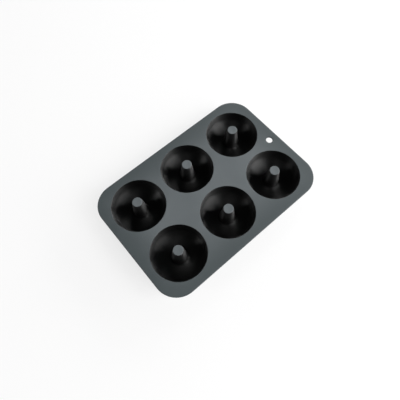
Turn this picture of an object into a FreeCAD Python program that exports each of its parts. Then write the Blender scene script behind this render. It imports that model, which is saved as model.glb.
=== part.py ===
import FreeCAD, Part
import math
import os
import Sketcher

# Silicone baking mould with round cavities and a hollow post in each.
# One moulded piece, in millimetres, +Z up. The origin is on the surface it rests on, under its middle,
# and the long side runs along X with the hanging hole at the +X end.

SIZES = {
    # tray
    "trayThickness": 2.0,
    "trayEdgeRound": 0.8,
    "cornerRadius": 31.0,
    "endMargin": 11.5,
    "sideMargin": 11.7,
    # grid of cavities
    "cavityColumns": 3,
    "cavityRows": 2,
    "columnWeb": 10.4,
    "rowWeb": 10.8,
    # section of one cavity
    "cavityRadius": 36.0,
    "cavityDepth": 20.0,
    "wallThickness": 1.6,
    "lipRound": 0.7,
    "sideDraft": 8.0,
    "sideRadius": 8.0,
    "floorRadius": 24.0,
    "floorFlat": 2.0,
    "underRound": 1.2,
    # post in the middle of a cavity
    "postTopRadius": 6.6,
    "postRise": 11.2,
    "postDraft": 8.0,
    "postFlareRadius": 4.0,
    "postTopRound": 0.6,
    # hanging hole
    "hangHoleRadius": 4.6,
    "hangHoleInset": 13.5,
}

# Lengths that follow from the sizes above
COLUMN_PITCH = "(2 * Sizes.cavityRadius + Sizes.columnWeb)"
ROW_PITCH = "(2 * Sizes.cavityRadius + Sizes.rowWeb)"
TRAY_TOP = "(Sizes.wallThickness + Sizes.cavityDepth)"
TRAY_UNDERSIDE = f"({TRAY_TOP} - Sizes.trayThickness)"
POST_TOP = f"({TRAY_TOP} + Sizes.postRise)"
FIRST_CUP_X = f"(-(Sizes.cavityColumns - 1) * {COLUMN_PITCH} / 2)"
FIRST_CUP_Y = f"(-(Sizes.cavityRows - 1) * {ROW_PITCH} / 2)"
HALF_LENGTH = f"(Sizes.cavityRadius + Sizes.endMargin - {FIRST_CUP_X})"
HALF_WIDTH = f"(Sizes.cavityRadius + Sizes.sideMargin - {FIRST_CUP_Y})"
HANG_HOLE_X = f"({HALF_LENGTH} - Sizes.hangHoleInset)"
LAND_RADIUS = "(Sizes.cavityRadius + 2 * Sizes.wallThickness)"
POST_LEAN = "(Sizes.postDraft * 1 deg)"
FLARE_HEIGHT = "(Sizes.wallThickness + Sizes.postFlareRadius)"
POST_SPREAD = f"(({POST_TOP} - {FLARE_HEIGHT}) * tan({POST_LEAN}))"
FLARE_X = f"(Sizes.postTopRadius + {POST_SPREAD} + Sizes.postFlareRadius / cos({POST_LEAN}))"
FLOOR_X = f"({FLARE_X} + Sizes.floorFlat)"
SIDE_SHARE = 0.7  # most that the side arc takes of the room between the floor's ring and the rim
SIDE_RADIUS = f"min(Sizes.sideRadius; {SIDE_SHARE} * (Sizes.cavityRadius - {FLOOR_X}))"
FLOOR_SHARE = 1.25  # least that the floor arc spans of the room left beside the side arc
FLOOR_ROOM = f"(Sizes.cavityRadius - {SIDE_RADIUS} - {FLOOR_X})"
FLOOR_RADIUS = f"max(Sizes.floorRadius; {SIDE_RADIUS} + {FLOOR_SHARE} * {FLOOR_ROOM})"
EDGE_ROUND = "min(Sizes.trayEdgeRound; 0.45 * Sizes.trayThickness)"
LIP_ROUND = "min(Sizes.lipRound; 0.45 * Sizes.wallThickness)"
POST_ROUND = "min(Sizes.postTopRound; 0.45 * Sizes.wallThickness)"

START, END, CENTRE = range(1, 4)
ORIGIN, X_LINE, Y_LINE = -1, -1, -2
UP = FreeCAD.Vector(0, 0, 1)
TOLERANCE = 0.001


def make_sheet(document):
    sheet = document.addObject("Spreadsheet::Sheet", "Sizes")
    for row, (name, size) in enumerate(SIZES.items(), start=1):
        sheet.set(f"A{row}", name)
        sheet.set(f"B{row}", str(size))
        sheet.setAlias(f"B{row}", name)
    document.recompute()
    return sheet


def length(sheet, expression):
    """The value that the sheet gives to one of the lengths above."""
    return float(sheet.evalExpression(expression))


def origin_feature(body, role):
    return next(item for item in body.Origin.OriginFeatures if item.Role == role)


def make_sketch(body, name, role, offset):
    """A sketch on one of the body's origin planes, moved by expressions for x, y and z."""
    sketch = body.newObject("Sketcher::SketchObject", name)
    sketch.AttachmentSupport = [(origin_feature(body, role), "")]
    sketch.MapMode = "FlatFace"
    for axis, expression in zip("xyz", offset):
        if expression:
            sketch.setExpression(f".AttachmentOffset.Base.{axis}", expression)
    return sketch


def drive(sketch, name, constraint, expression):
    """Add a dimension, name it and bind it to the sheet."""
    index = sketch.addConstraint(constraint)
    sketch.renameConstraint(index, name)
    sketch.setExpression(f"Constraints.{name}", expression)


def add_line(sketch, start, end):
    first = FreeCAD.Vector(start[0], start[1], 0)
    last = FreeCAD.Vector(end[0], end[1], 0)
    return sketch.addGeometry(Part.LineSegment(first, last))


def add_arc(sketch, centre, radius, start_angle, end_angle):
    middle = FreeCAD.Vector(centre[0], centre[1], 0)
    circle = Part.Circle(middle, UP, radius)
    return sketch.addGeometry(Part.ArcOfCircle(circle, start_angle, end_angle))


def join(sketch, kind, *pairs):
    """Join ends of the outline, each pair given as (piece, end, piece, end)."""
    for pair in pairs:
        sketch.addConstraint(Sketcher.Constraint(kind, *pair))


def draw_tray(body, sheet):
    """Rounded rectangle of the tray, level with its underside."""
    sketch = make_sketch(body, "TrayOutline", "XY_Plane", (None, None, TRAY_UNDERSIDE))
    half_x = length(sheet, HALF_LENGTH)
    half_y = length(sheet, HALF_WIDTH)
    radius = length(sheet, "Sizes.cornerRadius")
    in_x = half_x - radius
    in_y = half_y - radius
    quarter = math.pi / 2
    right = add_line(sketch, (half_x, -in_y), (half_x, in_y))
    top_right = add_arc(sketch, (in_x, in_y), radius, 0, quarter)
    top = add_line(sketch, (in_x, half_y), (-in_x, half_y))
    top_left = add_arc(sketch, (-in_x, in_y), radius, quarter, 2 * quarter)
    left = add_line(sketch, (-half_x, in_y), (-half_x, -in_y))
    bottom_left = add_arc(sketch, (-in_x, -in_y), radius, 2 * quarter, 3 * quarter)
    bottom = add_line(sketch, (-in_x, -half_y), (in_x, -half_y))
    bottom_right = add_arc(sketch, (in_x, -in_y), radius, 3 * quarter, 4 * quarter)
    ring = [right, top_right, top, top_left, left, bottom_left, bottom, bottom_right]
    for piece, following in zip(ring, ring[1:] + ring[:1]):
        join(sketch, "Tangent", (piece, END, following, START))
    sketch.addConstraint(Sketcher.Constraint("Vertical", left))
    sketch.addConstraint(Sketcher.Constraint("Horizontal", bottom))
    join(sketch, "Symmetric", (top, START, top, END, Y_LINE), (right, START, right, END, X_LINE))
    for corner in (top_left, bottom_left, bottom_right):
        sketch.addConstraint(Sketcher.Constraint("Equal", top_right, corner))
    drive(sketch, "corner", Sketcher.Constraint("Radius", top_right, radius), "Sizes.cornerRadius")
    reach = Sketcher.Constraint("DistanceX", ORIGIN, START, right, END, half_x)
    drive(sketch, "halfLength", reach, HALF_LENGTH)
    reach = Sketcher.Constraint("DistanceY", ORIGIN, START, top, START, half_y)
    drive(sketch, "halfWidth", reach, HALF_WIDTH)
    return sketch


def draw_circle(body, sheet, name, offset, radius_expression):
    """A circle about the sketch's own origin."""
    sketch = make_sketch(body, name, "XY_Plane", offset)
    radius = length(sheet, radius_expression)
    circle = sketch.addGeometry(Part.Circle(FreeCAD.Vector(), UP, radius))
    join(sketch, "Coincident", (circle, CENTRE, ORIGIN, START))
    drive(sketch, "radius", Sketcher.Constraint("Radius", circle, radius), radius_expression)
    return sketch


def section_points(sheet):
    """Where the section's corners and centres lie: x is the radius, y the height."""
    wall = length(sheet, "Sizes.wallThickness")
    top = length(sheet, TRAY_TOP)
    rim = length(sheet, "Sizes.cavityRadius")
    post_draft = math.radians(length(sheet, "Sizes.postDraft"))
    side_draft = math.radians(length(sheet, "Sizes.sideDraft"))
    side = length(sheet, SIDE_RADIUS)
    floor = length(sheet, FLOOR_RADIUS)
    floor_x = length(sheet, FLOOR_X)
    floor_y = wall + floor

    # The side arc's centre runs down a line beside the side wall until it meets the floor arc
    along = (-math.sin(side_draft), -math.cos(side_draft))
    inward = (-math.cos(side_draft), math.sin(side_draft))
    from_x = rim + side * inward[0] - floor_x
    from_y = top + side * inward[1] - floor_y
    ahead = from_x * along[0] + from_y * along[1]
    apart = floor - side
    run = -ahead + math.sqrt(ahead ** 2 - from_x ** 2 - from_y ** 2 + apart ** 2)
    side_x = floor_x + from_x + run * along[0]
    side_y = floor_y + from_y + run * along[1]
    return {
        "flare": (length(sheet, FLARE_X), length(sheet, FLARE_HEIGHT)),
        "floor": (floor_x, floor_y),
        "side": (side_x, side_y),
        "turn": math.atan2(side_y - floor_y, side_x - floor_x),
        "post_draft": post_draft,
        "side_draft": side_draft,
    }


def on_circle(centre, radius, angle):
    return (centre[0] + radius * math.cos(angle), centre[1] + radius * math.sin(angle))


def draw_section(body, sheet):
    """Half section of one cup's wall, from the tray to the top of the post, for turning about Z."""
    sketch = make_sketch(body, "CupSection", "XZ_Plane", (FIRST_CUP_X, None, f"-{FIRST_CUP_Y}"))
    points = section_points(sheet)
    wall = length(sheet, "Sizes.wallThickness")
    flare = length(sheet, "Sizes.postFlareRadius")
    side = length(sheet, SIDE_RADIUS)
    floor = length(sheet, FLOOR_RADIUS)
    rim = length(sheet, "Sizes.cavityRadius")
    land = length(sheet, LAND_RADIUS)
    top = length(sheet, TRAY_TOP)
    underside = length(sheet, TRAY_UNDERSIDE)
    post_radius = length(sheet, "Sizes.postTopRadius")
    post_top = length(sheet, POST_TOP)
    down = -math.pi / 2
    post_angle = math.pi + points["post_draft"]
    side_angle = -points["side_draft"]
    turn = points["turn"]

    # upper surface, from the tray inward to the axis
    side_start = on_circle(points["side"], side, side_angle)
    flare_start = on_circle(points["flare"], flare, post_angle)
    floor_end = on_circle(points["floor"], floor, down)
    flare_end = on_circle(points["flare"], flare, down)
    rim_land = add_line(sketch, (land, top), (rim, top))
    side_wall = add_line(sketch, (rim, top), side_start)
    side_arc = add_arc(sketch, points["side"], side, turn, side_angle)
    floor_arc = add_arc(sketch, points["floor"], floor, down, turn)
    floor_line = add_line(sketch, floor_end, flare_end)
    flare_arc = add_arc(sketch, points["flare"], flare, post_angle, down + 2 * math.pi)
    post_side = add_line(sketch, flare_start, (post_radius, post_top))
    post_cap = add_line(sketch, (post_radius, post_top), (0, post_top))
    axis = add_line(sketch, (0, post_top), (0, post_top - wall))

    # lower surface, from the axis outward to the tray
    hollow_end = on_circle(points["flare"], flare + wall, post_angle)
    hollow_radius = hollow_end[0] - (post_top - wall - hollow_end[1]) * math.tan(points["post_draft"])
    foot_start = on_circle(points["flare"], flare + wall, down)
    foot_end = on_circle(points["floor"], floor + wall, down)
    outer_end = on_circle(points["side"], side + wall, side_angle)
    outer_radius = outer_end[0] + (underside - outer_end[1]) * math.tan(points["side_draft"])
    hollow_cap = add_line(sketch, (0, post_top - wall), (hollow_radius, post_top - wall))
    hollow_side = add_line(sketch, (hollow_radius, post_top - wall), hollow_end)
    hollow_arc = add_arc(sketch, points["flare"], flare + wall, post_angle, down + 2 * math.pi)
    foot = add_line(sketch, foot_start, foot_end)
    foot_arc = add_arc(sketch, points["floor"], floor + wall, down, turn)
    outer_arc = add_arc(sketch, points["side"], side + wall, turn, side_angle)
    outer_wall = add_line(sketch, outer_end, (outer_radius, underside))
    under_land = add_line(sketch, (outer_radius, underside), (land, underside))
    land_edge = add_line(sketch, (land, underside), (land, top))

    join(
        sketch, "Coincident",
        (rim_land, END, side_wall, START), (post_side, END, post_cap, START),
        (post_cap, END, axis, START), (axis, END, hollow_cap, START),
        (hollow_cap, END, hollow_side, START), (outer_wall, END, under_land, START),
        (under_land, END, land_edge, START), (land_edge, END, rim_land, START),
        (hollow_arc, CENTRE, flare_arc, CENTRE), (foot_arc, CENTRE, floor_arc, CENTRE),
        (outer_arc, CENTRE, side_arc, CENTRE),
    )
    join(
        sketch, "Tangent",
        (side_wall, END, side_arc, END), (side_arc, START, floor_arc, END),
        (floor_arc, START, floor_line, START), (floor_line, END, flare_arc, END),
        (flare_arc, START, post_side, START), (hollow_side, END, hollow_arc, START),
        (hollow_arc, END, foot, START), (foot, END, foot_arc, START),
        (foot_arc, END, outer_arc, START), (outer_arc, END, outer_wall, START),
    )
    for level in (rim_land, floor_line, post_cap, hollow_cap, foot, under_land):
        sketch.addConstraint(Sketcher.Constraint("Horizontal", level))
    sketch.addConstraint(Sketcher.Constraint("Vertical", land_edge))
    join(sketch, "PointOnObject", (axis, START, Y_LINE), (axis, END, Y_LINE), (foot, START, X_LINE))
    join(sketch, "Parallel", (hollow_side, post_side), (outer_wall, side_wall))

    def across(name, piece, end, value, expression):
        drive(sketch, name, Sketcher.Constraint("DistanceX", ORIGIN, START, piece, end, value), expression)

    def above(name, piece, end, value, expression):
        drive(sketch, name, Sketcher.Constraint("DistanceY", ORIGIN, START, piece, end, value), expression)

    across("rimRadius", side_wall, START, rim, "Sizes.cavityRadius")
    across("landRadius", rim_land, START, land, LAND_RADIUS)
    across("postTopRadius", post_cap, START, post_radius, "Sizes.postTopRadius")
    above("trayTop", rim_land, START, top, TRAY_TOP)
    above("trayUnderside", under_land, END, underside, TRAY_UNDERSIDE)
    above("floorTop", floor_line, START, wall, "Sizes.wallThickness")
    above("postTop", post_cap, START, post_top, POST_TOP)
    cap = Sketcher.Constraint("DistanceY", axis, END, axis, START, wall)
    drive(sketch, "postCap", cap, "Sizes.wallThickness")
    flat = Sketcher.Constraint("DistanceX", floor_line, END, floor_line, START, floor_end[0] - flare_end[0])
    drive(sketch, "floorFlat", flat, "Sizes.floorFlat")
    drive(sketch, "sideRadius", Sketcher.Constraint("Radius", side_arc, side), SIDE_RADIUS)
    drive(sketch, "floorRadius", Sketcher.Constraint("Radius", floor_arc, floor), FLOOR_RADIUS)
    drive(sketch, "flareRadius", Sketcher.Constraint("Radius", flare_arc, flare), "Sizes.postFlareRadius")
    lean = Sketcher.Constraint("Angle", side_wall, down - points["side_draft"])
    drive(sketch, "sideLean", lean, "(-90 - Sizes.sideDraft) * 1 deg")
    lean = Sketcher.Constraint("Angle", post_side, -down + points["post_draft"])
    drive(sketch, "postLean", lean, "(90 + Sizes.postDraft) * 1 deg")
    return sketch


def cut_through(body, name, sketch):
    """Cut a sketch down through the tray, and stop if nothing was cut."""
    before = body.Tip.Shape.Volume
    pocket = body.newObject("PartDesign::Pocket", name)
    pocket.Profile = sketch
    pocket.Type = "ThroughAll"
    body.Document.recompute()
    if pocket.Shape.Volume > before - TOLERANCE:
        raise RuntimeError(f"{name} cut nothing")
    return pocket


def level_face(shape, height):
    """The largest flat face at a height."""
    level = [
        face for face in shape.Faces
        if abs(face.BoundBox.ZMin - height) < TOLERANCE and abs(face.BoundBox.ZMax - height) < TOLERANCE
    ]
    return max(level, key=lambda face: face.Area)


def edge_names(shape, edges):
    """The names that a shape gives to some of its edges."""
    return [
        f"Edge{number}" for number, edge in enumerate(shape.Edges, start=1)
        if any(edge.isSame(wanted) for wanted in edges)
    ]


def round_circles(shape, height, radius):
    """The circular edges at a height, within half a millimetre of a radius."""
    close = 0.5
    return [
        edge for edge in shape.Edges
        if isinstance(edge.Curve, Part.Circle)
        and abs(edge.BoundBox.ZMin - height) < TOLERANCE
        and abs(edge.BoundBox.ZMax - height) < TOLERANCE
        and abs(edge.Curve.Radius - radius) < close
    ]


def add_round(body, name, edges, expression):
    base = body.Tip
    fillet = body.newObject("PartDesign::Fillet", name)
    fillet.Base = (base, edge_names(base.Shape, edges))
    fillet.setExpression("Radius", expression)
    body.Document.recompute()
    return fillet


def make_mould(document, sheet):
    body = document.addObject("PartDesign::Body", "mould")
    body.Label = "mould"

    tray = body.newObject("PartDesign::Pad", "Tray")
    tray.Profile = draw_tray(body, sheet)
    tray.setExpression("Length", "Sizes.trayThickness")
    document.recompute()

    opening_place = (FIRST_CUP_X, FIRST_CUP_Y, TRAY_TOP)
    opening = draw_circle(body, sheet, "RimCircle", opening_place, LAND_RADIUS)
    opening_cut = cut_through(body, "RimOpening", opening)

    section = draw_section(body, sheet)
    cup = body.newObject("PartDesign::Revolution", "CupWall")
    cup.Profile = section
    cup.ReferenceAxis = (section, ["V_Axis"])
    cup.Angle = 360
    document.recompute()

    grid = body.newObject("PartDesign::LinearPattern", "CupGrid")
    grid.Originals = [opening_cut, cup]
    grid.Direction = (origin_feature(body, "X_Axis"), [""])
    grid.setExpression("Occurrences", "Sizes.cavityColumns")
    grid.setExpression("Length", f"-2 * {FIRST_CUP_X}")
    grid.Direction2 = (origin_feature(body, "Y_Axis"), [""])
    grid.setExpression("Occurrences2", "Sizes.cavityRows")
    grid.setExpression("Length2", f"-2 * {FIRST_CUP_Y}")
    body.Tip = grid
    document.recompute()

    hang_place = (HANG_HOLE_X, None, TRAY_TOP)
    hang_circle = draw_circle(body, sheet, "HangCircle", hang_place, "Sizes.hangHoleRadius")
    cut_through(body, "HangHole", hang_circle)
    return body


def add_rounds(body, sheet):
    top = length(sheet, TRAY_TOP)
    underside = length(sheet, TRAY_UNDERSIDE)
    outer_radius = length(sheet, "Sizes.cavityRadius + Sizes.wallThickness")
    rim_radius = length(sheet, "Sizes.cavityRadius")
    post_radius = length(sheet, "Sizes.postTopRadius")

    shape = body.Tip.Shape
    outline = level_face(shape, top).OuterWire.Edges + level_face(shape, underside).OuterWire.Edges
    add_round(body, "TrayEdgeRound", outline, EDGE_ROUND)
    add_round(body, "LipRound", round_circles(body.Tip.Shape, top, rim_radius), LIP_ROUND)
    add_round(body, "UnderRound", round_circles(body.Tip.Shape, underside, outer_radius), "Sizes.underRound")
    post_edges = round_circles(body.Tip.Shape, length(sheet, POST_TOP), post_radius)
    add_round(body, "PostTopRound", post_edges, POST_ROUND)


def check(document, bodies):
    """Stop before writing anything if a feature failed or a solid is not whole."""
    for item in document.Objects:
        if "Invalid" in item.State or "Error" in item.State:
            raise RuntimeError(f"{item.Name} failed: {item.State}")
    for body in bodies:
        shape = body.Shape
        if shape.isNull() or not shape.isValid() or len(shape.Solids) != 1:
            raise RuntimeError(f"{body.Label} is not one sound solid")


document = FreeCAD.newDocument("baking_mould")
sheet = make_sheet(document)
mould = make_mould(document, sheet)
add_rounds(mould, sheet)
document.recompute()
check(document, [mould])
os.makedirs("parts", exist_ok=True)
mould.Shape.exportStep(f"parts/{mould.Label}.step")
box = mould.Shape.optimalBoundingBox()
print(f"{mould.Label}: {box.XLength:.2f} x {box.YLength:.2f} x {box.ZLength:.2f} mm")
print(f"volume {mould.Shape.Volume / 1000:.2f} cm3")
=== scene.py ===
import math

import bmesh
import bpy
from mathutils import Euler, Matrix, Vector
from mathutils.geometry import delaunay_2d_cdt


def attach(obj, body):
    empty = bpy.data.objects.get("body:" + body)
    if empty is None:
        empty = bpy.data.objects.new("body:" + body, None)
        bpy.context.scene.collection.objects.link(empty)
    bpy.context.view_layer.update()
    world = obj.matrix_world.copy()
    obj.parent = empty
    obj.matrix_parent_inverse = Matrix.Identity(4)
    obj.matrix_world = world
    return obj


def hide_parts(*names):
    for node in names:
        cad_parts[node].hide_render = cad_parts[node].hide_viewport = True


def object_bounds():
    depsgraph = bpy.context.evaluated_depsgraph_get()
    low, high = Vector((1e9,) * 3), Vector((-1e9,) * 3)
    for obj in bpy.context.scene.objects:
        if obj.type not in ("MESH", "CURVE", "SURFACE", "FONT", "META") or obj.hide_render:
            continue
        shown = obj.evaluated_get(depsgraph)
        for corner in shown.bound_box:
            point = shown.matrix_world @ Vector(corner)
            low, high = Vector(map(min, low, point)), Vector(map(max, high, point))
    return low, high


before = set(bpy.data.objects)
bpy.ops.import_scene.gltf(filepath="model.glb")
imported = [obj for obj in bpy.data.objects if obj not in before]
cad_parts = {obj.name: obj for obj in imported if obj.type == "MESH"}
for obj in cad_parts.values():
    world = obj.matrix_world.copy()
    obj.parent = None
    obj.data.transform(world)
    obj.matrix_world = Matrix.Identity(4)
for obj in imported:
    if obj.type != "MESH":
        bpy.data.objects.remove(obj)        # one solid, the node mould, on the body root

cadLow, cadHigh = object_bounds()    # the CAD box, before the piece is dressed
mm = 0.001

# The mould: one piece of silicone, made as one closed mesh inside the box of its solid
mouldShape = {                   # millimetres and degrees
    "trayThickness": 2.0,
    "trayEdgeRound": 0.8,
    "flashRecess": 0.05,         # how far the tray's edge lies behind the fine line where the tool parts
    "flashWidth": 0.16,
    "cornerRadius": 31.0,
    "columns": 3,
    "rows": 2,
    "columnWeb": 10.4,
    "rowWeb": 10.8,
    "rimRadius": 36.0,
    "lipRound": 0.7,
    "wall": 1.6,
    "sideDraft": 8.0,
    "sideRadius": 8.0,
    "floorRadius": 24.0,
    "floorFlat": 2.0,
    "underRound": 1.2,
    "postRise": 11.2,
    "postTopRadius": 6.6,
    "postDraft": 8.0,
    "postFlareRadius": 4.0,
    "postTopRound": 0.6,
    "postDish": 0.18,            # how far the middle of a post's top has sunk
    "hollowRound": 1.2,
    "holeRadius": 4.6,
    "holeInset": 13.5,
    "holeRound": 0.25,
}
meshDetail = {
    "around": 96,                # points round a cavity
    "holeAround": 40,
    "cornerSteps": 20,
    "straightStep": 4.0,         # millimetres between points on straight stretches
    "arcStep": 1.2,              # millimetres between points on the section's arcs
    "smallSteps": 4,             # steps in a small round, and the fewest in any arc
    "fillSpacing": 4.5,          # millimetres between the free points on the tray's faces
    "fillClear": 1.6,
    "fillJoin": 1e-5,            # points nearer than this count as one
}
shape = mouldShape
halfLength = cadHigh.x / mm
halfWidth = cadHigh.y / mm
postTop = cadHigh.z / mm
trayTop = postTop - shape["postRise"]
trayUnder = trayTop - shape["trayThickness"]
columnPitch = 2 * shape["rimRadius"] + shape["columnWeb"]
rowPitch = 2 * shape["rimRadius"] + shape["rowWeb"]


def polar(centre, radius, degrees):
    angle = math.radians(degrees)
    return Vector((centre[0] + radius * math.cos(angle), centre[1] + radius * math.sin(angle)))


def sweep(centre, radius, start, end, steps=None):    # points on an arc, both ends included
    if steps is None:
        run = math.radians(abs(end - start)) * radius
        steps = max(meshDetail["smallSteps"], math.ceil(run / meshDetail["arcStep"]))
    return [polar(centre, radius, start + (end - start) * step / steps) for step in range(steps + 1)]


def lineTo(points, end):    # goes on from the last point in even steps
    start = points[-1].copy()
    steps = max(1, math.ceil((end - start).length / meshDetail["arcStep"]))
    points.extend(start.lerp(end, step / steps) for step in range(1, steps + 1))


def cornerRound(x, y, radius, lean):    # from a level face at height y down a wall that leans in to the axis
    slope = math.radians(lean)
    centre = (x + radius * (1 - math.sin(slope)) / math.cos(slope), y - radius)
    return sweep(centre, radius, 90, 180 - lean, meshDetail["smallSteps"])


def sectionCentres():    # centres of the section's three large arcs: x is the radius, y the height
    wall, rim = shape["wall"], shape["rimRadius"]
    flare, side, floor = shape["postFlareRadius"], shape["sideRadius"], shape["floorRadius"]
    postLean, sideLean = math.radians(shape["postDraft"]), math.radians(shape["sideDraft"])
    flareY = wall + flare
    flareX = shape["postTopRadius"] + (postTop - flareY) * math.tan(postLean) + flare / math.cos(postLean)
    floorCentre = Vector((flareX + shape["floorFlat"], wall + floor))
    down = Vector((-math.sin(sideLean), -math.cos(sideLean)))
    inward = Vector((-math.cos(sideLean), math.sin(sideLean)))
    offset = Vector((rim, trayTop)) + side * inward - floorCentre
    ahead = offset.dot(down)
    run = -ahead + math.sqrt(ahead ** 2 - offset.length_squared + (floor - side) ** 2)
    return Vector((flareX, flareY)), floorCentre, floorCentre + offset + run * down


def cavitySection():    # the polished face, from the tray in to the middle of the post's top
    flareCentre, floorCentre, sideCentre = sectionCentres()
    turn = math.degrees(math.atan2(*reversed(sideCentre - floorCentre)))
    lean = math.radians(shape["postDraft"])
    topRound = shape["postTopRound"]
    points = cornerRound(shape["rimRadius"], trayTop, shape["lipRound"], shape["sideDraft"])
    side = sweep(sideCentre, shape["sideRadius"], -shape["sideDraft"], turn)
    lineTo(points, side[0])
    points += side[1:] + sweep(floorCentre, shape["floorRadius"], turn, -90)[1:]
    flare = sweep(flareCentre, shape["postFlareRadius"], -90, shape["postDraft"] - 180)
    lineTo(points, flare[0])
    points += flare[1:]
    roundX = shape["postTopRadius"] - topRound * (1 - math.sin(lean)) / math.cos(lean)
    topEdge = sweep((roundX, postTop - topRound), topRound, shape["postDraft"], 90, meshDetail["smallSteps"])
    lineTo(points, topEdge[0])
    points += topEdge[1:]
    edge = points[-1]
    capSteps = 5
    for step in range(1, capSteps + 1):
        share = step / capSteps
        sink = shape["postDish"] * share * share * (3 - 2 * share)
        points.append(Vector((edge.x * (1 - share), postTop - sink)))
    return points


def undersideSection():    # the hidden face, from the tray in to the middle of the post's hollow
    flareCentre, floorCentre, sideCentre = sectionCentres()
    wall = shape["wall"]
    turn = math.degrees(math.atan2(*reversed(sideCentre - floorCentre)))
    sideLean, postLean = math.radians(shape["sideDraft"]), math.radians(shape["postDraft"])
    wallX = shape["rimRadius"] + wall / math.cos(sideLean) - shape["trayThickness"] * math.tan(sideLean)
    points = cornerRound(wallX, trayUnder, shape["underRound"], shape["sideDraft"])
    side = sweep(sideCentre, shape["sideRadius"] + wall, -shape["sideDraft"], turn)
    lineTo(points, side[0])
    points += side[1:] + sweep(floorCentre, shape["floorRadius"] + wall, turn, -90)[1:]
    hollow = sweep(flareCentre, shape["postFlareRadius"] + wall, -90, shape["postDraft"] - 180)
    lineTo(points, hollow[0])
    points += hollow[1:]
    capY = postTop - wall
    hollowRadius = hollow[-1].x - (capY - hollow[-1].y) * math.tan(postLean)
    bend = shape["hollowRound"]
    bendX = hollowRadius - bend * (1 - math.sin(postLean)) / math.cos(postLean)
    cap = sweep((bendX, capY - bend), bend, shape["postDraft"], 90, meshDetail["smallSteps"])
    lineTo(points, cap[0])
    points += cap[1:]
    lineTo(points, Vector((0, capY)))
    return points


def outlinePath():    # round the tray, as (point, outward direction)
    radius = shape["cornerRadius"]
    inX, inY = halfLength - radius, halfWidth - radius
    corners = [((inX, inY), 0), ((-inX, inY), 90), ((-inX, -inY), 180), ((inX, -inY), 270)]
    path = []
    for centre, start in corners:
        for step in range(meshDetail["cornerSteps"] + 1):
            degrees = start + 90 * step / meshDetail["cornerSteps"]
            path.append((polar(centre, radius, degrees), polar((0, 0), 1, degrees)))
    closed = []
    for here, there in zip(path, path[1:] + path[:1]):
        closed.append(here)
        gap = (there[0] - here[0]).length
        if gap > 2 * meshDetail["straightStep"]:
            steps = math.ceil(gap / meshDetail["straightStep"])
            closed += [(here[0].lerp(there[0], step / steps), here[1]) for step in range(1, steps)]
    return closed


def ring(mesh, centre, radius, height, count):
    points = [polar(centre, radius, 360 * step / count) for step in range(count)]
    return [mesh.verts.new((point.x * mm, point.y * mm, height * mm)) for point in points]


def band(mesh, first, second, zone, flip=False):    # a closed strip of faces between two rings
    count = len(first)
    for step in range(count):
        following = (step + 1) % count
        corners = [first[step], first[following], second[following], second[step]]
        face = mesh.faces.new(reversed(corners) if flip else corners)
        face.material_index = zone


def turnSection(mesh, start, centre, section, zones, flip):    # turns a section about a cavity's own axis
    travelled = mesh.verts.layers.float["travelled"]
    previous, run = start, 0.0
    for before, point, zone in zip(section, section[1:-1], zones):
        current = ring(mesh, centre, point.x, point.y, len(start))
        run += (point - before).length
        for vert in current:
            vert[travelled] = run * mm
        band(mesh, previous, current, zone, flip)
        previous = current
    middle = mesh.verts.new((centre[0] * mm, centre[1] * mm, section[-1].y * mm))
    for here, there in zip(previous, previous[1:] + previous[:1]):
        face = mesh.faces.new((there, here, middle) if flip else (here, there, middle))
        face.material_index = zones[-1]


def freePoints(clearOf):    # an even lattice on the tray, kept off the outline and the openings
    spacing, clear = meshDetail["fillSpacing"], meshDetail["fillClear"]
    inset = shape["trayEdgeRound"] + clear
    radius = shape["cornerRadius"]
    points = []
    rowStep = spacing * math.sin(math.radians(60))
    rows = int(halfWidth / rowStep)
    columns = int(halfLength / spacing) + 1
    for row in range(-rows, rows + 1):
        for column in range(-columns, columns + 1):
            point = Vector(((column + 0.5 * (row % 2)) * spacing, row * rowStep))
            pastX = max(0, abs(point.x) - halfLength + radius)
            pastY = max(0, abs(point.y) - halfWidth + radius)
            if math.hypot(pastX, pastY) > radius - inset:
                continue
            if all((point - centre).length > reach + clear for centre, reach in clearOf):
                points.append(point)
    return points


def fillFlat(mesh, outer, openings, height, zone, up):    # a flat face with round openings
    loops = [outer] + [loop for loop, centre, reach in openings]
    known = [vert for loop in loops for vert in loop]
    edges, first = [], 0
    for loop in loops:
        edges += [(first + step, first + (step + 1) % len(loop)) for step in range(len(loop))]
        first += len(loop)
    free = freePoints([(centre, reach) for loop, centre, reach in openings])
    flat = [vert.co.xy / mm for vert in known] + free
    points, _, faces, sources, _, _ = delaunay_2d_cdt(flat, edges, [], 0, meshDetail["fillJoin"])
    verts = []
    for point, source in zip(points, sources):
        original = source[0] if source else len(known)
        if original < len(known):
            verts.append(known[original])
        else:
            verts.append(mesh.verts.new((point.x * mm, point.y * mm, height * mm)))
    insideShare = 0.999    # share of an opening's radius within which faces are left out
    for corners in faces:
        middle = sum((points[index] for index in corners), Vector((0, 0))) / len(corners)
        if any((middle - centre).length < reach * insideShare for loop, centre, reach in openings):
            continue
        ordered = corners if up else list(reversed(corners))
        face = mesh.faces.new([verts[index] for index in ordered])
        face.material_index = zone


def edgeProfile():    # the tray's edge from top to underside, as (distance in from the outline, height)
    bend, recess = shape["trayEdgeRound"], shape["flashRecess"]
    middle, half = (trayTop + trayUnder) / 2, shape["flashWidth"] / 2
    upper = sweep((0, trayTop - bend), bend, 90, 0, meshDetail["smallSteps"])
    lower = sweep((0, trayUnder + bend), bend, 0, -90, meshDetail["smallSteps"])
    def inset(point):
        return (bend - point.x + recess * point.x / bend, point.y)
    flash = [(recess, middle + half), (0, middle), (recess, middle - half)]
    return [inset(point) for point in upper] + flash + [inset(point) for point in lower]


def nearestAxis(distance, pitch, count):    # where the nearest cavity's axis lies along one direction
    middle = (count - 1) / 2
    return (round(distance / pitch + middle) - middle) * pitch


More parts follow.
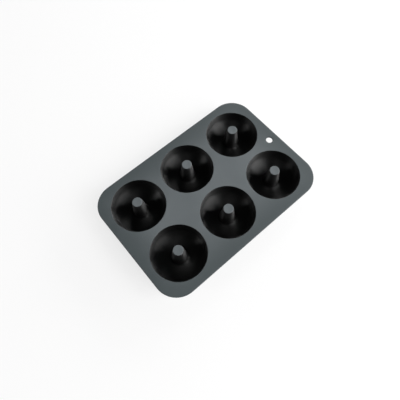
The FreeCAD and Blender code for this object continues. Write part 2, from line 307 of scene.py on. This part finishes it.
def mapTurning(mesh, polished):    # a map whose U runs down each cavity's section and V round its axis
    travelled = mesh.verts.layers.float["travelled"]
    layer = mesh.loops.layers.uv.new("turning")
    for face in mesh.faces:
        if face.material_index != polished:
            for loop in face.loops:
                loop[layer].uv = loop.vert.co.xy
            continue
        middle = face.calc_center_median() / mm
        axisX = nearestAxis(middle.x, columnPitch, shape["columns"])
        axisY = nearestAxis(middle.y, rowPitch, shape["rows"])
        axis = Vector((axisX, axisY))
        facing = middle.xy - axis
        for loop in face.loops:
            arm = loop.vert.co.xy / mm - axis
            turn = math.atan2(facing.y, facing.x) - facing.angle_signed(arm, 0)
            loop[layer].uv = (loop.vert[travelled], turn * shape["rimRadius"] * mm)


def makeMould():
    matt, polished, under = 0, 1, 2    # places in the mesh's list of materials
    mesh = bmesh.new()
    mesh.verts.layers.float.new("travelled")    # distance from the rim along a section
    around, holeAround = meshDetail["around"], meshDetail["holeAround"]
    upper, lower = cavitySection(), undersideSection()
    capLevel = postTop - 0.5 * shape["postTopRound"]
    capStart = next(index for index, point in enumerate(upper) if point.y > capLevel)
    upperZones = [matt if index < 1 or index >= capStart else polished for index in range(len(upper) - 1)]
    lowerZones = [under] * (len(lower) - 1)
    topOpenings, underOpenings = [], []
    for column in range(shape["columns"]):
        for row in range(shape["rows"]):
            x = (column - (shape["columns"] - 1) / 2) * columnPitch
            y = (row - (shape["rows"] - 1) / 2) * rowPitch
            centre = Vector((x, y))
            rim = ring(mesh, centre, upper[0].x, trayTop, around)
            turnSection(mesh, rim, centre, upper, upperZones, flip=False)
            topOpenings.append((rim, centre, upper[0].x))
            skirt = ring(mesh, centre, lower[0].x, trayUnder, around)
            turnSection(mesh, skirt, centre, lower, lowerZones, flip=True)
            underOpenings.append((skirt, centre, lower[0].x))
    holeCentre = Vector((halfLength - shape["holeInset"], 0))
    wide, bend = shape["holeRadius"] + shape["holeRound"], shape["holeRound"]
    holeSection = [(wide, trayTop), (shape["holeRadius"], trayTop - bend)]
    holeSection += [(shape["holeRadius"], trayUnder + bend), (wide, trayUnder)]
    holeRings = [ring(mesh, holeCentre, radius, height, holeAround) for radius, height in holeSection]
    for first, second in zip(holeRings, holeRings[1:]):
        band(mesh, first, second, matt)
    topOpenings.append((holeRings[0], holeCentre, wide))
    underOpenings.append((holeRings[-1], holeCentre, wide))
    path = outlinePath()
    edgeRings = []
    for inset, height in edgeProfile():
        points = [point - outward * inset for point, outward in path]
        edgeRings.append([mesh.verts.new((point.x * mm, point.y * mm, height * mm)) for point in points])
    for first, second in zip(edgeRings, edgeRings[1:]):
        band(mesh, first, second, matt, flip=True)
    fillFlat(mesh, edgeRings[0], topOpenings, trayTop, matt, up=True)
    fillFlat(mesh, edgeRings[-1], underOpenings, trayUnder, under, up=False)
    mesh.normal_update()
    mapTurning(mesh, polished)
    for face in mesh.faces:
        face.smooth = True
    data = bpy.data.meshes.new("mouldBody")
    mesh.to_mesh(data)
    openEdges = sum(1 for edge in mesh.edges if not edge.is_manifold)
    print(f"mould mesh: {len(mesh.faces)} faces, {openEdges} open edges")
    mesh.free()
    piece = bpy.data.objects.new("mouldBody", data)
    bpy.context.scene.collection.objects.link(piece)
    weighted = piece.modifiers.new("evenShading", "WEIGHTED_NORMAL")
    weighted.mode = "FACE_AREA"
    weighted.weight = 50    # neutral: each face counts by its area alone
    return piece


def addNode(tree, kind, values=None, **settings):    # a node with its settings, its values and what feeds it
    made = tree.nodes.new(kind)
    for name, value in settings.items():
        setattr(made, name, value)
    for socket, value in (values or {}).items():
        if isinstance(value, bpy.types.NodeSocket):
            tree.links.new(value, made.inputs[socket])
        else:
            made.inputs[socket].default_value = value
    return made


def mixColors(tree, share, first, second):    # the first colour, with a share of the second mixed in
    values = {0: share, 6: first, 7: second}    # the node's places for its share and its two colours
    return addNode(tree, "ShaderNodeMix", values, data_type="RGBA").outputs[2]


def mixValues(tree, share, first, second):
    values = {0: share, 2: first, 3: second}    # the node's places for its share and its two values
    return addNode(tree, "ShaderNodeMix", values).outputs[0]


def product(tree, first, second):
    return addNode(tree, "ShaderNodeMath", {0: first, 1: second}, operation="MULTIPLY").outputs[0]


def spread(tree, value, low, high):    # a value's run from low to high, as 0 to 1
    values = {"Value": value, "From Min": low, "From Max": high}
    return addNode(tree, "ShaderNodeMapRange", values).outputs["Result"]


def startGroup(name, inputs, outputs):    # an empty group with its named sockets
    group = bpy.data.node_groups.new(name, "ShaderNodeTree")
    for label, start in inputs.items():
        kind = "NodeSocketVector" if start is None else "NodeSocketFloat"
        socket = group.interface.new_socket(label, in_out="INPUT", socket_type=kind)
        if start is not None:
            socket.default_value = start
    for label in outputs:
        group.interface.new_socket(label, in_out="OUTPUT", socket_type="NodeSocketFloat")
    return group, group.nodes.new("NodeGroupInput"), group.nodes.new("NodeGroupOutput")


def makeGrainGroup():    # the skin that a tool leaves: fine pimples, soft orange peel, broad patches of tone
    inputs = {
        "Vector": None,
        "Grain Scale": 2500.0,
        "Peel Scale": 220.0,
        "Patch Scale": 18.0,
        "Peel Share": 0.5,
    }
    group, given, result = startGroup("mouldedGrain", inputs, ["Height", "Patch"])
    where = given.outputs["Vector"]
    fineGrain = {"Vector": where, "Scale": given.outputs["Grain Scale"], "Detail": 2.0}
    fine = addNode(group, "ShaderNodeTexNoise", fineGrain)
    softPeel = {"Vector": where, "Scale": given.outputs["Peel Scale"], "Detail": 3.0}
    peel = addNode(group, "ShaderNodeTexNoise", softPeel)
    height = mixValues(group, given.outputs["Peel Share"], fine.outputs["Fac"], peel.outputs["Fac"])
    broad = {
        "Vector": where,
        "Scale": given.outputs["Patch Scale"],
        "Detail": 4.0,
        "Roughness": 0.6,
        "Distortion": 0.6,
    }
    patch = addNode(group, "ShaderNodeTexNoise", broad)
    group.links.new(height, result.inputs["Height"])
    group.links.new(spread(group, patch.outputs["Fac"], low=0.3, high=0.7), result.inputs["Patch"])
    return group


def makeDustGroup():    # lint and flour dust that silicone picks up: single specks, thicker in some places
    inputs = {"Vector": None, "Speck Scale": 320.0, "Speck Size": 0.16, "Cover": 0.3}
    group, given, result = startGroup("looseDust", inputs, ["Dust"])
    where = given.outputs["Vector"]
    scattered = {"Vector": where, "Scale": given.outputs["Speck Scale"]}
    cells = addNode(group, "ShaderNodeTexVoronoi", scattered)
    speck = spread(group, cells.outputs["Distance"], low=given.outputs["Speck Size"], high=0.0)
    pick = addNode(group, "ShaderNodeSeparateColor", {"Color": cells.outputs["Color"]})
    below = {0: pick.outputs[0], 1: given.outputs["Cover"]}
    chosen = addNode(group, "ShaderNodeMath", below, operation="LESS_THAN")
    drift = {"Vector": where, "Scale": 25.0, "Detail": 3.0}
    cloud = addNode(group, "ShaderNodeTexNoise", drift)
    thick = spread(group, cloud.outputs["Fac"], low=0.4, high=0.65)
    dust = product(group, product(group, speck, chosen.outputs[0]), thick)
    group.links.new(dust, result.inputs["Dust"])
    return group


def makeSmearGroup():    # long faint smears where hands and a cloth have been
    inputs = {"Vector": None, "Smear Scale": 30.0, "Smear Length": 4.0}
    group, given, result = startGroup("handSmears", inputs, ["Smear"])
    split = addNode(group, "ShaderNodeSeparateXYZ", {"Vector": given.outputs["Vector"]})
    stretched = {0: split.outputs["X"], 1: given.outputs["Smear Length"]}
    drawn = addNode(group, "ShaderNodeMath", stretched, operation="DIVIDE")
    wiped = {"X": drawn.outputs[0], "Y": split.outputs["Y"], "Z": split.outputs["Z"]}
    along = addNode(group, "ShaderNodeCombineXYZ", wiped)
    wipe = {
        "Vector": along.outputs[0],
        "Scale": given.outputs["Smear Scale"],
        "Detail": 5.0,
        "Distortion": 1.5,
    }
    smear = addNode(group, "ShaderNodeTexNoise", wipe)
    group.links.new(spread(group, smear.outputs["Fac"], low=0.5, high=0.75), result.inputs["Smear"])
    return group


# Finishes of the silicone: matt on the tray and the posts' tops, polished in the cavities, satin below
mattFinish = {
    "color": (0.109, 0.124, 0.131, 1),
    "patchColor": (0.119, 0.135, 0.142, 1),
    "dustColor": (0.2, 0.2, 0.19, 1),
    # painted shade: the darker colour of the band along the tray's outline, its width and its blend
    "edgeShadeColor": (0.06, 0.073, 0.077, 1),
    "edgeShadeWidth": 0.055,
    "edgeShadeBlend": 0.03,
    "roughness": (0.58, 0.66),
    "specular": 0.35,
    "bumpDepth": 0.00004,
    "groups": {
        "mouldedGrain": {
            "Grain Scale": 2400.0,
            "Peel Scale": 260.0,
            "Patch Scale": 14.0,
            "Peel Share": 0.45,
        },
        "looseDust": {"Speck Scale": 420.0, "Speck Size": 0.14, "Cover": 0.12},
        "handSmears": {"Smear Scale": 26.0, "Smear Length": 3.0},
    },
}
polishedFinish = {
    "color": (0.0003, 0.0003, 0.0004, 1),
    "patchColor": (0.0009, 0.001, 0.0011, 1),
    "dustColor": (0.02, 0.02, 0.019, 1),
    "roughness": (0.41, 0.45),
    "specular": 0.48,
    "bumpDepth": 0.00001,
    "anisotropy": 0.9,           # the tool was turned, so the shine spreads across its marks
    "groups": {
        "mouldedGrain": {
            "Grain Scale": 1500.0,
            "Peel Scale": 120.0,
            "Patch Scale": 22.0,
            "Peel Share": 0.7,
        },
        "looseDust": {"Speck Scale": 300.0, "Speck Size": 0.1, "Cover": 0.05},
        "handSmears": {"Smear Scale": 20.0, "Smear Length": 2.0},
    },
}
underFinish = {
    "color": (0.018, 0.019, 0.021, 1),
    "patchColor": (0.024, 0.026, 0.028, 1),
    "dustColor": (0.12, 0.12, 0.115, 1),
    "roughness": (0.46, 0.58),
    "specular": 0.45,
    "bumpDepth": 0.00005,
    "groups": {
        "mouldedGrain": {
            "Grain Scale": 1800.0,
            "Peel Scale": 180.0,
            "Patch Scale": 16.0,
            "Peel Share": 0.6,
        },
        "looseDust": {"Speck Scale": 380.0, "Speck Size": 0.16, "Cover": 0.2},
        "handSmears": {"Smear Scale": 22.0, "Smear Length": 2.5},
    },
}


def edgeShadeBorder(tree, place, finish):    # painted shade: a band along the tray's outline, painted darker towards the edge
    size = addNode(tree, "ShaderNodeVectorMath", {0: place}, operation="ABSOLUTE")
    reach = (halfLength * mm, halfWidth * mm, 1)
    inset = addNode(tree, "ShaderNodeVectorMath", {0: size.outputs[0], 1: reach}, operation="SUBTRACT")
    split = addNode(tree, "ShaderNodeSeparateXYZ", {"Vector": inset.outputs[0]})
    nearest = {0: split.outputs["X"], 1: split.outputs["Y"], 2: finish["edgeShadeBlend"]}
    edge = addNode(tree, "ShaderNodeMath", nearest, operation="SMOOTH_MAX")
    near = {"Value": edge.outputs[0], "From Min": -finish["edgeShadeWidth"], "From Max": 0.0}
    return addNode(tree, "ShaderNodeMapRange", near, interpolation_type="SMOOTHSTEP").outputs["Result"]


def makeFinish(name, finish):
    material = bpy.data.materials.new(name)
    material.use_nodes = True
    tree = material.node_tree
    shader = tree.nodes["Principled BSDF"]
    place = tree.nodes.new("ShaderNodeTexCoord").outputs["Object"]
    marks = {}
    for effect, values in finish["groups"].items():
        marks[effect] = addNode(tree, "ShaderNodeGroup", node_tree=effects[effect])
        tree.links.new(place, marks[effect].inputs["Vector"])
        for socket, value in values.items():
            marks[effect].inputs[socket].default_value = value
    grain, dust, smear = marks["mouldedGrain"], marks["looseDust"], marks["handSmears"]
    color = mixColors(tree, grain.outputs["Patch"], finish["color"], finish["patchColor"])
    # paints shade into the colour, darker towards the tray's outline
    if "edgeShadeColor" in finish:
        color = mixColors(tree, edgeShadeBorder(tree, place, finish), color, finish["edgeShadeColor"])
    color = mixColors(tree, dust.outputs["Dust"], color, finish["dustColor"])
    low, high = finish["roughness"]
    shine = {"Value": smear.outputs["Smear"], "To Min": high, "To Max": low}
    rough = addNode(tree, "ShaderNodeMapRange", shine)
    raised = {"Height": grain.outputs["Height"], "Distance": finish["bumpDepth"]}
    bump = addNode(tree, "ShaderNodeBump", raised)
    tree.links.new(color, shader.inputs["Base Color"])
    tree.links.new(rough.outputs["Result"], shader.inputs["Roughness"])
    tree.links.new(bump.outputs["Normal"], shader.inputs["Normal"])
    shader.inputs["Specular IOR Level"].default_value = finish["specular"]
    if "anisotropy" in finish:
        turned = addNode(tree, "ShaderNodeTangent", direction_type="UV_MAP", uv_map="turning")
        shader.inputs["Anisotropic"].default_value = finish["anisotropy"]
        tree.links.new(turned.outputs["Tangent"], shader.inputs["Tangent"])
    return material


# Studio: a white sheet to lie on, soft boxes round it and the photo's camera
studio = {
    "floorColor": (0.94, 0.94, 0.94, 1),
    "floorRoughness": 0.9,
    "floorSize": 40.0,
    "floorGlow": 0.75,           # share of the sheet that is plain white to the camera
    "floorDrop": 0.00002,        # metres that the sheet lies below the feet, so the two faces don't coincide
    "horizon": 0.9,              # the room's brightness level with the sheet, and overhead
    "overhead": 0.02,
    "fade": (0.15, 0.4),         # sines of the heights between which the room goes dark
}
softBoxes = {                    # direction in degrees, size in metres, brightness with white as 1
    "sideHigh": {"azimuth": 286, "elevation": 50, "size": (0.85, 0.85), "level": 6.0},
    "sideMiddle": {"azimuth": 290, "elevation": 25, "size": (0.75, 0.85), "level": 9.0},
    "frontRight": {"azimuth": 312, "elevation": 32, "size": (0.85, 1.0), "level": 10.0},
    "sideLow": {"azimuth": 302, "elevation": 8, "size": (1.0, 0.5), "level": 15.0},
    "rightLow": {"azimuth": 330, "elevation": 9, "size": (1.0, 0.6), "level": 20.0},
    "endLow": {"azimuth": 5, "elevation": 9, "size": (1.35, 0.6), "level": 22.0},
    "backLow": {"azimuth": 45, "elevation": 9, "size": (1.5, 0.6), "level": 9.0},
    "left": {"azimuth": 158, "elevation": 22, "size": (0.65, 0.65), "level": 7.0},
    "leftLow": {"azimuth": 135, "elevation": 8, "size": (1.0, 0.5), "level": 3.0},
    "overhead": {"azimuth": 228, "elevation": 84, "size": (0.5, 0.5), "level": 3.0},
    "backMiddle": {"azimuth": 35, "elevation": 30, "size": (1.0, 0.65), "level": 3.0},
}
boxDistance = 2.5                # metres from the mould
cameraPlace = {                  # millimetres from the middle of the tray's top, and degrees
    "position": (-122.5, -135.6, 422.3),
    "aim": (-16.9, -5.5, 0.0),
    "roll": -1.6,
    "lens": 31.1,
    "sensor": 36.0,
    "clip": (0.01, 50.0),        # metres
}


def makeSheet():    # a white sheet, partly unshaded white to the camera and in reflections
    sheet = bpy.data.materials.new("whiteSheet")
    sheet.use_nodes = True
    tree = sheet.node_tree
    shader = tree.nodes["Principled BSDF"]
    shader.inputs["Base Color"].default_value = studio["floorColor"]
    shader.inputs["Roughness"].default_value = studio["floorRoughness"]
    shader.inputs["Specular IOR Level"].default_value = 0.0
    rays = tree.nodes.new("ShaderNodeLightPath").outputs
    straight = {0: rays["Is Camera Ray"], 1: rays["Is Glossy Ray"]}
    seen = addNode(tree, "ShaderNodeMath", straight, operation="ADD")
    through = {0: seen.outputs[0], 1: rays["Is Transmission Ray"]}
    seen = addNode(tree, "ShaderNodeMath", through, operation="ADD")
    share = product(tree, seen.outputs[0], studio["floorGlow"])
    glow = addNode(tree, "ShaderNodeEmission", {"Color": (1, 1, 1, 1), "Strength": 1.0})
    mixed = {0: share, 1: shader.outputs[0], 2: glow.outputs[0]}
    both = addNode(tree, "ShaderNodeMixShader", mixed)
    tree.links.new(both.outputs[0], tree.nodes["Material Output"].inputs["Surface"])
    return sheet


def makeFloor():
    half = studio["floorSize"] / 2
    data = bpy.data.meshes.new("floor")
    corners = [(-half, -half, 0), (half, -half, 0), (half, half, 0), (-half, half, 0)]
    data.from_pydata(corners, [], [(0, 1, 2, 3)])
    floor = bpy.data.objects.new("floor", data)
    floor.location.z = -studio["floorDrop"]
    bpy.context.scene.collection.objects.link(floor)
    data.materials.append(makeSheet())


def makeRoom():    # pale near the horizon and dark overhead
    world = bpy.data.worlds.new("studio")
    world.use_nodes = True
    tree = world.node_tree
    toward = tree.nodes.new("ShaderNodeTexCoord").outputs["Generated"]
    direction = addNode(tree, "ShaderNodeSeparateXYZ", {"Vector": toward})
    low, high = studio["fade"]
    fade = {
        "Value": direction.outputs["Z"],
        "From Min": low,
        "From Max": high,
        "To Min": studio["horizon"],
        "To Max": studio["overhead"],
    }
    height = addNode(tree, "ShaderNodeMapRange", fade, interpolation_type="SMOOTHSTEP")
    tree.links.new(height.outputs["Result"], tree.nodes["Background"].inputs["Color"])
    bpy.context.scene.world = world


def makeSoftBoxes():
    target = Vector((0, 0, trayTop * mm))
    for name, box in softBoxes.items():
        data = bpy.data.lights.new(name, "AREA")
        data.shape = "RECTANGLE"
        data.size, data.size_y = box["size"]
        data.energy = box["level"] * math.pi * data.size * data.size_y
        light = bpy.data.objects.new(name, data)
        light.visible_camera = False
        flat = math.cos(math.radians(box["elevation"]))
        turn = math.radians(box["azimuth"])
        rise = math.sin(math.radians(box["elevation"]))
        away = Vector((flat * math.cos(turn), flat * math.sin(turn), rise))
        light.location = target + away * boxDistance
        light.rotation_euler = (-away).to_track_quat("-Z", "Y").to_euler()
        bpy.context.scene.collection.objects.link(light)


def makeCamera():
    data = bpy.data.cameras.new("photoCamera")
    data.lens = cameraPlace["lens"]
    data.sensor_width = cameraPlace["sensor"]
    data.clip_start, data.clip_end = cameraPlace["clip"]
    camera = bpy.data.objects.new("photoCamera", data)
    lift = Vector((0, 0, trayTop))
    camera.location = (Vector(cameraPlace["position"]) + lift) * mm
    aim = (Vector(cameraPlace["aim"]) - Vector(cameraPlace["position"])).to_track_quat("-Z", "Y")
    roll = Euler((0, 0, math.radians(cameraPlace["roll"]))).to_quaternion()
    camera.rotation_mode = "QUATERNION"
    camera.rotation_quaternion = aim @ roll
    bpy.context.scene.collection.objects.link(camera)
    bpy.context.scene.camera = camera


print("Stage 1: the mould's mesh")
mould = makeMould()
print("Stage 2: its finishes")
effects = {"mouldedGrain": makeGrainGroup(), "looseDust": makeDustGroup(), "handSmears": makeSmearGroup()}
finishes = {"mattSilicone": mattFinish, "polishedSilicone": polishedFinish, "satinSilicone": underFinish}
for name, finish in finishes.items():
    mould.data.materials.append(makeFinish(name, finish))
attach(mould, "root")
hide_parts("mould")
print("Stage 3: floor, soft boxes and camera")
makeFloor()
makeRoom()
makeSoftBoxes()
makeCamera()
bpy.context.scene.view_settings.view_transform = "Standard"

bpy.context.view_layer.update()
